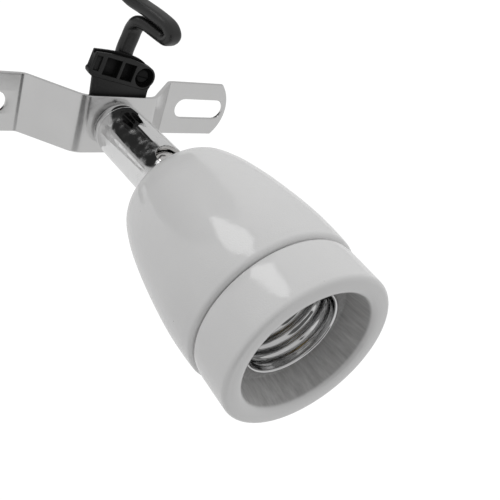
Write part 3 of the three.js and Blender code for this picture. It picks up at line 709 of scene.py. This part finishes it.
def grip_base():
    side = GRIP_HALF - TRAY_WALL
    tray = block(-GRIP_HALF, GRIP_HALF, behind(0), behind(5), GRIP_FOOT, 6)
    inside = block(-side, side, behind(GRIP_WALL), behind(6), GRIP_FOOT + TRAY_WALL, 7)
    face = slab([
        (-GRIP_HALF, GRIP_FOOT), (GRIP_HALF, GRIP_FOOT), (9.6, 9), (9.65, 12.2), (10.9, 15.3),
        (8, 17), (-10.9, 17), (-10.3, 9),
    ], behind(0), behind(GRIP_WALL))
    jaws = [
        block(JAW_LEFT, JAW_LEFT + JAW_WALL, behind(0), behind(JAW_BACK), JAW_FLOOR, JAW_TOP),
        block(JAW_RIGHT, GRIP_HALF, behind(0), behind(JAW_BACK), JAW_FLOOR, JAW_TOP),
        block(JAW_LEFT, GRIP_HALF, behind(JAW_BACK - 1), behind(JAW_BACK), JAW_FLOOR + 1.5, JAW_TOP),
        block(JAW_RIGHT, 10, behind(BAR_THICK), behind(5.2), 12, 18.3),
    ]
    bar_back = behind(BAR_THICK + BAR_GAP)
    spaces = [
        block(-18, BOSS[0], behind(-1), bar_back, BAR_BOTTOM - 0.03, 8),  # a hairline under the bar
        shifted(rod(BOSS_R + 0.1, behind(-1), bar_back), *BOSS),
        block(BOSS[0], 18, behind(-1), bar_back, -2.4, 8),
        shifted(rod(1.6, behind(0), behind(6.2)), *BOSS),
    ]
    nipple = rod(THREAD_HOLE_R, behind(-1), behind(2.3))
    body = cut(fused(cut(tray, inside), face, *jaws), *(askew(space) for space in spaces), nipple)
    return eased(body, 0.1, 2)


piece("grip_bar", clamp_bar(), ROW, "grip_clamp", "black_plastic", "cord_grip_clamp")
piece("grip_bar_screw", clamp_screw(), ROW, "grip_screw", "blackened_steel", "cord_grip_screw")
piece("grip_body", grip_base(), ROW, "bracket", "black_plastic", "cord_grip_base")

# ---- lead ----------------------------------------------------------------------------------------

LEAD_PATH = [
    (0, -40, 0), (0, -24, 0), (0, -14.2, 0), (0.1, -11, 0.3), (0.5, -8.6, 2.8), (1.4, -8.2, 6.2),
    (1.6, -9.2, 10.5), (1.4, -10, 15.5), (0.8, -10.1, 22.8), (1.7, -10.2, 28), (2.1, -10.7, 31.2),
    (2.4, -12.6, 33.8), (3.7, -15, 34.1), (5.4, -18.8, 33.4), (6.5, -21.4, 32.9), (6.9, -23.9, 33),
    (7, -25.5, 34.8), (6.5, -24, 36.7), (5.2, -20, 37.8), (4.1, -16.8, 38.3), (2.5, -12, 38.8),
    (0.6, -8.4, 39.6), (-2, -6, 41.8), (-4.5, -5, 45.8), (-7.2, -5.4, 51.8), (-9, -6, 56.5),
]
LEAD_BROAD, LEAD_THIN = 2.9, 1.95  # half widths of the flat sheath
TWIST = -38
TWIST_OUT, TWIST_BACK = (0.36, 0.50), (0.76, 0.98)  # shares of the lead's points
CORE_R = 0.95
LEAD_END = Vector((-9.15, -6.05, 56.9))
LEAD_ALONG = Vector((-0.37, -0.12, 0.92)).normalized()
LEAD_ACROSS = Vector((0.92, 0, 0.37)).normalized()
STRAND_R, STRAND_TWIST = 0.17, 14  # the twist is in degrees a step


def flat_section(thin, broad, steps=12):
    """A flat lead's outline: round edges joined by flats."""
    flat = broad - thin
    upper = [(thin * math.cos(math.pi * k / steps), flat + thin * math.sin(math.pi * k / steps))
             for k in range(steps + 1)]
    return upper + [(-u, -v) for u, v in upper]


def past_end(along, across):
    return LEAD_END + LEAD_ALONG * along + LEAD_ACROSS * across


def core(side):
    places = ((0, 1.15), (2.4, 1.15), (5.6, 2), (8.8, 3.4))
    points = [past_end(along, side * across) for along, across in places]
    return swept(line_through(points, 6), circle(CORE_R, 18), (0, 1, 0))


def strands(side):
    """Seven bare wires, six of them twisted round one."""
    places = ((9.1, 3.55), (10.9, 4.4), (12.8, 5.2))
    points = [past_end(along, side * across) for along, across in places]
    line = line_through(points, 8)
    forward = (line[-1] - line[0]).normalized()
    out = forward.cross(Vector((0, 1, 0))).normalized()
    over = forward.cross(out)
    bm = bmesh.new()
    for wire in range(7):
        turns = [math.radians(60 * wire + STRAND_TWIST * i) for i in range(len(line))]
        far = 0.0 if wire == 6 else 2 * STRAND_R
        path = [p + (out * math.cos(a) + over * math.sin(a)) * far for p, a in zip(line, turns)]
        one = thing("wire", swept(path, circle(STRAND_R, 8), out), None)
        bm.from_mesh(one.data)
        bpy.data.objects.remove(one)
    return bm


def lead_twist(share):
    """The lead twists as it leaves the grip and straightens again after it doubles back."""
    out, back = ramp(share, *TWIST_OUT), ramp(share, *TWIST_BACK)
    return TWIST * (out * out * (3 - 2 * out) - back * back * (3 - 2 * back))


sheath = swept(line_through(LEAD_PATH, 8), flat_section(LEAD_THIN, LEAD_BROAD), (1, 0, 0), lead_twist)
piece("flat_sheath", sheath, ROW, "bracket", "black_sheath", "lead_sheath")
for label, side, colour in (("live", 1, "brown_insulation"), ("neutral", -1, "blue_insulation")):
    piece("core_" + label, core(side), ROW, "bracket", colour, "lead_core_" + label)
    piece("strands_" + label, strands(side), ROW, "bracket", "copper_strands", "lead_strands_" + label)

# ---- swivel; heights are reach -------------------------------------------------------------------

HOUSING_R = HOUSING_HIGH.x
HOUSING_BORE_R = 7.45
HOUSING_END = STRIP_LOW.y - HOUSING_LOW.y
MOUTH_R = 6.1
MOUTH_FROM, MOUTH_TAPER = 2.2, 5.2  # past the ball's centre, and how fast the bore draws in
END_EASE = 0.45
PIVOT_REACH = STRIP_LOW.y - (PIVOT - MIDDLE).y / MM
NOTCH_HALF = 5.15
NOTCH_APEX = 30.3
CAP_END = 4.6
THREAD_R = 4.9
NECK_BORE_R = 3.6
BALL_R, BALL_TAIL, SOCKET_FLOOR = 7.2, 6.1, 2.5
NECK_START, NECK_END = 2.8, 19.4


def notch_half_angle(radius, height):
    """Half the angle that the notch opens at a radius and a height: straight sides, round end."""
    centre = NOTCH_APEX + NOTCH_HALF
    if height <= NOTCH_APEX:
        return 0.0
    rise = min(height - centre, 0.0)
    half = math.sqrt(max(NOTCH_HALF**2 - rise**2, 0.0))
    return math.asin(min(half / radius, 1.0))


def bore_radius(height):
    """The tube's inside: drawn in at the mouth to hold the ball."""
    past = max(0.0, height - PIVOT_REACH - MOUTH_FROM)
    return math.sqrt(max(HOUSING_BORE_R**2 - past**2 * MOUTH_TAPER, MOUTH_R**2))


def swivel_housing():
    start = CAP_END + 0.1
    round_end = NOTCH_APEX + NOTCH_HALF
    curve = [round_end - NOTCH_HALF * math.cos(math.pi / 2 * k / 16) for k in range(17)]
    heights = [start, start + 0.15, 8, 12, 16, 20, 24, 28, *curve, 36, 36.5, 36.9, 37.2, 37.6]
    heights += [HOUSING_END - back for back in (END_EASE, 0.3, 0.14, 0.04, 0)]
    outside = []
    for height in heights:
        ease = max(0.0, 1 - (HOUSING_END - height) / END_EASE)
        shy = END_EASE * (1 - math.sqrt(max(1 - ease * ease, 0))) if ease else 0.0
        if height == start:
            shy = 0.15
        outside.append((HOUSING_R - shy, height))
    inside = [(bore_radius(h) + (0.2 if h == HOUSING_END else 0), h) for h in reversed(heights)]
    return eased(turned(outside + inside, 128, gap=notch_half_angle), 0.1, 2, math.radians(50))


def housing_cap():
    low = 0.1
    return turned(rounded([
        (THREAD_HOLE_R - 0.1, low, 0.15), (HOUSING_R, low, 3.4), (HOUSING_R, CAP_END, 0.12),
        (HOUSING_BORE_R - 0.1, CAP_END), (HOUSING_BORE_R - 0.1, 7.4), (HOUSING_BORE_R - 0.8, 7.4),
        (HOUSING_BORE_R - 0.8, 2.6), (THREAD_HOLE_R - 0.1, 2.6),
    ], 10), 128)


def thread(pitch, depth, low, high):
    """A bend that raises a right-hand thread between two heights."""
    def bend(radius, height, angle):
        if radius < THREAD_R - 0.5 or not low < height < high:
            return radius
        phase = (height / pitch + angle / (2 * math.pi)) % 1
        return radius - depth * abs(2 * phase - 1)
    return bend


def even(low, high, step):
    count = max(1, round((high - low) / step))
    return [low + (high - low) * k / count for k in range(count + 1)]


def swivel_ball():
    tail = math.degrees(math.asin(-BALL_TAIL / BALL_R))
    mouth = math.degrees(math.acos(THREAD_HOLE_R / BALL_R))
    outline = arc(0, 0, BALL_R, tail, mouth, 40)
    outline = [Vector((NECK_BORE_R, outline[0].y)), *outline]
    outline += [Vector((THREAD_HOLE_R, SOCKET_FLOOR)), Vector((NECK_BORE_R, SOCKET_FLOOR))]
    return turned(outline, 96)


def threaded_neck():
    outside = [(THREAD_R, h) for h in even(NECK_START, NECK_END, 0.25)]
    outline = [(NECK_BORE_R, NECK_START), *outside, (NECK_BORE_R, NECK_END)]
    return turned(outline, 64, thread(pitch=1.0, depth=0.32, low=8.0, high=19))


piece("swivel_tube", swivel_housing(), SWIVEL, "housing", "chrome", "swivel_housing")
piece("swivel_cap", housing_cap(), SWIVEL, "housing", "chrome", "housing_cap")
piece("ball", swivel_ball(), LAMP, "ball", "nickel", "swivel_ball")
piece("hollow_neck", threaded_neck(), LAMP, "ball", "nickel", "threaded_neck")

# ---- porcelain; heights are drop -----------------------------------------------------------------

DOME_TOP = 8.8
DOME_INSIDE = 13.1
SEAM = 62.1
COLLAR_TOP = 62.45
COLLAR_R = 24.6
RIM_FRONT = 77.6
MOUTH_BORE_R = 19.0
LEDGE = 67.1


def painted(made, place, glaze_of):
    """Stores how much glaze there is at each point, from its radius and drop."""
    back = place.inverted()
    values = []
    for vert in made.data.vertices:
        local = back @ vert.co
        values.append(glaze_of(math.hypot(local.x, local.z), local.y))
    made.data.attributes.new("glaze", "FLOAT", "POINT").data.foreach_set("value", values)
    return made


def porcelain_body():
    knots = [(11, DOME_TOP), (14.6, 9.85), (18.1, 12.6), (20.75, 19.2), (22.75, 28.2), (24.2, 38),
             (25.25, 49), (25.35, 58), (25.2, SEAM - 1.1)]
    outside = [(p.x, p.y) for p in line_through([(r, d, 0) for r, d in knots], 8)]
    lip = [(25.05, SEAM - 0.7), (24.8, SEAM - 0.35), (24.4, SEAM - 0.1), (23.9, SEAM)]
    inside = [(20.9, SEAM), (20.9, 42), (20.2, 32), (18.3, 22), (16, 16.6), (12.4, DOME_INSIDE)]
    top = [(5.4, DOME_INSIDE), (5.4, DOME_TOP + 0.3), (5.8, DOME_TOP)]
    return turned([*top, *outside, *lip, *inside], 192)


RIBS = 78
RIB_DEPTH = 0.11


def ribbed(radius, height, angle):
    """Fine draft marks down the collar's inside wall."""
    inside = ramp(19.1, radius, radius + 0.3)
    share = inside * ramp(height, LEDGE + 1, LEDGE + 3) * ramp(76, height, height + 2)
    wobble = math.sin(angle * 5 + 1) + math.sin(angle * 11 + 2) + math.sin(angle * 23)
    rib = math.sin(RIBS * angle + 1.5 * wobble)
    return radius + RIB_DEPTH * share * rib * (0.6 + 0.25 * math.sin(angle * 7))


def porcelain_collar():
    edge_r = 1.5
    edge = arc(COLLAR_R - edge_r, RIM_FRONT - 0.1 - edge_r, edge_r, 0, 90, 9)
    front = [(COLLAR_R - edge_r, RIM_FRONT - 0.1), (21.6, RIM_FRONT), (20.3, RIM_FRONT - 0.18),
             (19.5, RIM_FRONT - 0.62), (19.1, RIM_FRONT - 1.25), (MOUTH_BORE_R, RIM_FRONT - 2)]
    rim = [*edge, *((p.x, p.y) for p in line_through([(r, d, 0) for r, d in front], 5)[1:])]
    wall = [(MOUTH_BORE_R - 0.2 - 0.6 * ramp(74, h, h + 5.6), h) for h in (74, 73, 72, 71, 70, 69, 68.4)]
    foot = rounded([(18.2, 68.4), (18.15, LEDGE, 0.6), (14, LEDGE)], 6)[1:-1]
    return turned([
        (16.4, 57), (20.5, 57), (20.5, COLLAR_TOP), (23.6, COLLAR_TOP), (24.05, COLLAR_TOP + 0.14),
        (24.35, COLLAR_TOP + 0.45), (24.5, COLLAR_TOP + 1), (24.56, 66), (COLLAR_R, 70), (COLLAR_R, 74),
        *rim, *wall, *foot, (14, LEDGE), (14, 64.6), (16.4, 62),
    ], 468, ribbed)


def body_glaze(radius, drop):
    """Glazed outside and bare inside."""
    inside = DOME_INSIDE - 2 < drop < SEAM and radius < 16 + (min(drop, 40) - 16.6) * 0.2
    return 0.0 if inside else 1.0


def collar_glaze(radius, drop):
    return 1.0 if radius > 19.6 else ramp(drop, RIM_FRONT - 1.8, RIM_FRONT - 0.9)


body = piece("porcelain_dome", porcelain_body(), LAMP, "lampholder", "glazed_porcelain", "porcelain_body")
painted(body, LAMP, body_glaze)
collar = piece(
    "porcelain_ring", porcelain_collar(), LAMP, "lampholder", "glazed_porcelain", "porcelain_collar"
)
painted(collar, LAMP, collar_glaze)

# ---- thread shell and contacts -------------------------------------------------------------------

SHELL_FOOT = 45.4
SHELL_RIM = 69.6
SHELL_MIDDLE_R = 12.9
SHELL_HOLE_R = 9.6
THREAD_SWELL = 0.5
SHELL_WALL = 0.4
THREAD_PITCH = 3.63
RIM_R, RIM_ROLL_R = 13.75, 0.62


def threaded_wall(radius, height, angle):
    """The rolled thread of the shell, fading out towards its foot and its rim."""
    fade = ramp(height, SHELL_FOOT + 1, SHELL_FOOT + 3.5) * ramp(SHELL_RIM - 2.0, height, height + 2.5)
    return radius + THREAD_SWELL * fade * math.cos(2 * math.pi * height / THREAD_PITCH + angle)


def thread_shell():
    heights = even(SHELL_FOOT + 1.2, SHELL_RIM - 2.2, 0.28)
    outside = [(SHELL_MIDDLE_R + SHELL_WALL, h) for h in heights]
    inside = [(SHELL_MIDDLE_R, h) for h in reversed(heights)]
    rim = arc(RIM_R, SHELL_RIM - 0.55, RIM_ROLL_R, -90, 180, 14)
    return turned([
        (SHELL_HOLE_R, SHELL_FOOT), (SHELL_MIDDLE_R, SHELL_FOOT), *outside, (13.35, SHELL_RIM - 1.6),
        *rim, (13.1, SHELL_RIM - 1.6), *inside,
        (SHELL_MIDDLE_R - 0.3, SHELL_FOOT + SHELL_WALL), (SHELL_HOLE_R, SHELL_FOOT + SHELL_WALL),
    ], 160, threaded_wall)


piece("screw_shell", thread_shell(), LAMP, "lampholder", "shell_metal", "thread_shell")

# ---- materials for the CAD nodes that stay -------------------------------------------------------

SLOT_OF = {part["node"]: part["material_slot"] for part in frame["record"]["subparts"]}
NODE_EDGE = 0.12 * MM
for name, node in frame["nodes"].items():
    node.data.materials.clear()
    node.data.materials.append(finish_of(SLOT_OF[name]))
    if name != "pressure_spring":
        edge = node.modifiers.new("edge", "BEVEL")
        edge.width, edge.segments = NODE_EDGE, 2
        edge.limit_method, edge.angle_limit = "ANGLE", math.radians(50)

# ---- studio --------------------------------------------------------------------------------------

DAYLIGHT, DARK_PATCH = 0.76, 0.03  # in reflections
BRIGHT_SIDE, DIM_SIDE, FLOOR_LIGHT = 1.12, 0.36, 0.48  # as sources of light
FLOOR_GLOW = 1.05  # to the camera
FLOOR_Z, FLOOR_HALF = cad_box[0].z - 0.08, 6.0
SOFTBOX_SIZE, SOFTBOX_GLOW = {"X": 0.25, "Y": 0.31}, 3.0
SOFT_FROM = 0.3  # the share of the softbox's size at which its edges start to fade
PERSON_GLOW = 0.1


def switched(tree, ray, level, other):
    """One brightness for a kind of ray and another for the rest."""
    pick = tree.nodes.new("ShaderNodeMix")
    tree.links.new(tree.nodes.new("ShaderNodeLightPath").outputs[ray], pick.inputs["Factor"])
    feed(tree, other, pick.inputs["A"])
    feed(tree, level, pick.inputs["B"])
    return pick.outputs["Result"]


def glowing(name, seen, mirrored, cast):
    """A surface with one brightness to the camera, one in reflections and one as a source of light."""
    material = bpy.data.materials.new(name)
    material.use_nodes = True
    tree = material.node_tree
    tree.nodes.clear()
    level = switched(tree, "Is Camera Ray", seen, switched(tree, "Is Glossy Ray", mirrored, cast))
    glow = tree.nodes.new("ShaderNodeEmission")
    tree.links.new(level, glow.inputs["Strength"])
    tree.links.new(glow.outputs[0], tree.nodes.new("ShaderNodeOutputMaterial").inputs["Surface"])
    return material


def floor():
    bm = bmesh.new()
    bmesh.ops.create_grid(bm, x_segments=1, y_segments=1, size=FLOOR_HALF)
    made = thing("floor", bm, Matrix.Translation((0, 0, FLOOR_Z)))
    made.data.materials.append(glowing("floor", FLOOR_GLOW, DAYLIGHT, FLOOR_LIGHT))


def aimed(direction, distance):
    """The place of a light or card that stands in a direction from the swivel and faces it."""
    away = Vector(direction).normalized()
    turn = away.to_track_quat("Z", "Y").to_matrix().to_4x4()
    return Matrix.Translation(PIVOT + away * distance) @ turn


def card(name, direction, distance, width, height):
    """A card that faces the fixture, hidden from the camera."""
    bm = bmesh.new()
    bmesh.ops.create_grid(bm, x_segments=1, y_segments=1, size=0.5)
    bmesh.ops.scale(bm, vec=(width, height, 1), verts=bm.verts)
    made = thing(name, bm, None)
    made.matrix_world = aimed(direction, distance)
    made.visible_camera = made.visible_shadow = False
    return made


def person():
    """The dark shape of someone beside the camera, for the polished metal to show."""
    made = card("person", (-0.32, -0.9, -0.28), 0.22, 0.15, 0.3)
    made.data.materials.append(glowing("person", PERSON_GLOW, PERSON_GLOW, PERSON_GLOW))
    made.visible_diffuse = False


def cone(tree, place, towards, outer, inner, near, far):
    """near close to a direction and far away from it; outer and inner are cosines of the angle to it."""
    dot = tree.nodes.new("ShaderNodeVectorMath")
    dot.operation = "DOT_PRODUCT"
    tree.links.new(place, dot.inputs[0])
    dot.inputs[1].default_value = Vector(towards).normalized()
    level = tree.nodes.new("ShaderNodeMapRange")
    level.interpolation_type = "SMOOTHSTEP"
    tree.links.new(dot.outputs["Value"], level.inputs["Value"])
    for key, value in (("From Min", outer), ("From Max", inner), ("To Min", far), ("To Max", near)):
        level.inputs[key].default_value = value
    return level.outputs["Result"]


def world():
    """Pale light, strongest from behind and above; reflections show a dark patch behind in its place."""
    made = bpy.data.worlds.new("studio")
    bpy.context.scene.world = made
    made.use_nodes = True
    tree = made.node_tree
    tree.nodes.clear()
    place = tree.nodes.new("ShaderNodeTexCoord").outputs["Generated"]
    mirrored = cone(tree, place, (-0.24, 0.888, 0.393), 0.86, 0.90, DARK_PATCH, DAYLIGHT)
    cast = cone(tree, place, (0.2, 0.7, 0.68), -1.0, 1.0, BRIGHT_SIDE, DIM_SIDE)
    sky = tree.nodes.new("ShaderNodeBackground")
    tree.links.new(switched(tree, "Is Glossy Ray", mirrored, cast), sky.inputs["Strength"])
    tree.links.new(sky.outputs[0], tree.nodes.new("ShaderNodeOutputWorld").inputs["Surface"])


def faded(tree, axis, size):
    """1 on the middle of a card and 0 at its edges along an axis."""
    place = tree.nodes.new("ShaderNodeTexCoord").outputs["Object"]
    split = tree.nodes.new("ShaderNodeSeparateXYZ")
    tree.links.new(place, split.inputs[0])
    off = tree.nodes.new("ShaderNodeMath")
    off.operation = "ABSOLUTE"
    tree.links.new(split.outputs[axis], off.inputs[0])
    fade = tree.nodes.new("ShaderNodeMapRange")
    fade.interpolation_type = "SMOOTHSTEP"
    tree.links.new(off.outputs[0], fade.inputs["Value"])
    settings = {"From Min": size * SOFT_FROM, "From Max": size / 2, "To Min": 1.0, "To Max": 0.0}
    for key, value in settings.items():
        fade.inputs[key].default_value = value
    return fade.outputs["Result"]


def times(tree, a, b):
    product = tree.nodes.new("ShaderNodeMath")
    product.operation = "MULTIPLY"
    feed(tree, a, product.inputs[0])
    feed(tree, b, product.inputs[1])
    return product.outputs[0]


def softbox():
    """A soft light behind and above, fading towards its edges."""
    made = card("softbox", (-0.42, 0.46, 0.78), 0.6, *SOFTBOX_SIZE.values())
    material = glowing("softbox", 0, 0, 0)
    tree = material.node_tree
    level = SOFTBOX_GLOW
    for axis, size in SOFTBOX_SIZE.items():
        level = times(tree, faded(tree, axis, size), level)
    glow = next(node for node in tree.nodes if node.type == "EMISSION")
    tree.links.new(level, glow.inputs["Strength"])
    made.data.materials.append(material)


def fill():
    """A weak light from the front right, which reaches into the mouth."""
    data = bpy.data.lights.new("fill", "AREA")
    data.shape, data.size, data.energy = "DISK", 0.2, 0.16
    made = bpy.data.objects.new("fill", data)
    made.matrix_world = aimed((0.68, -0.58, 0.45), 0.6)
    made.visible_glossy = False
    bpy.context.scene.collection.objects.link(made)


def camera():
    """Left of the fixture, in front and above, rolled so that its right side is up."""
    place = MIDDLE + Vector((-0.12532, -0.22666, 0.10220))
    heading, down, roll = (math.radians(a) for a in (43.72, 28.55, 18.93))
    data = bpy.data.cameras.new("camera")
    data.lens, data.sensor_width = 56.825, 36
    data.clip_start, data.clip_end = 0.01, 50
    made = bpy.data.objects.new("camera", data)
    bpy.context.scene.collection.objects.link(made)
    turn = (
        Matrix.Rotation(-heading, 4, "Z") @ Matrix.Rotation(math.pi / 2 - down, 4, "X")
        @ Matrix.Rotation(roll, 4, "Z")
    )
    made.matrix_world = Matrix.Translation(place) @ turn
    bpy.context.scene.camera = made


floor()
world()
softbox()
fill()
person()
camera()
bpy.context.scene.view_settings.view_transform = "Standard"
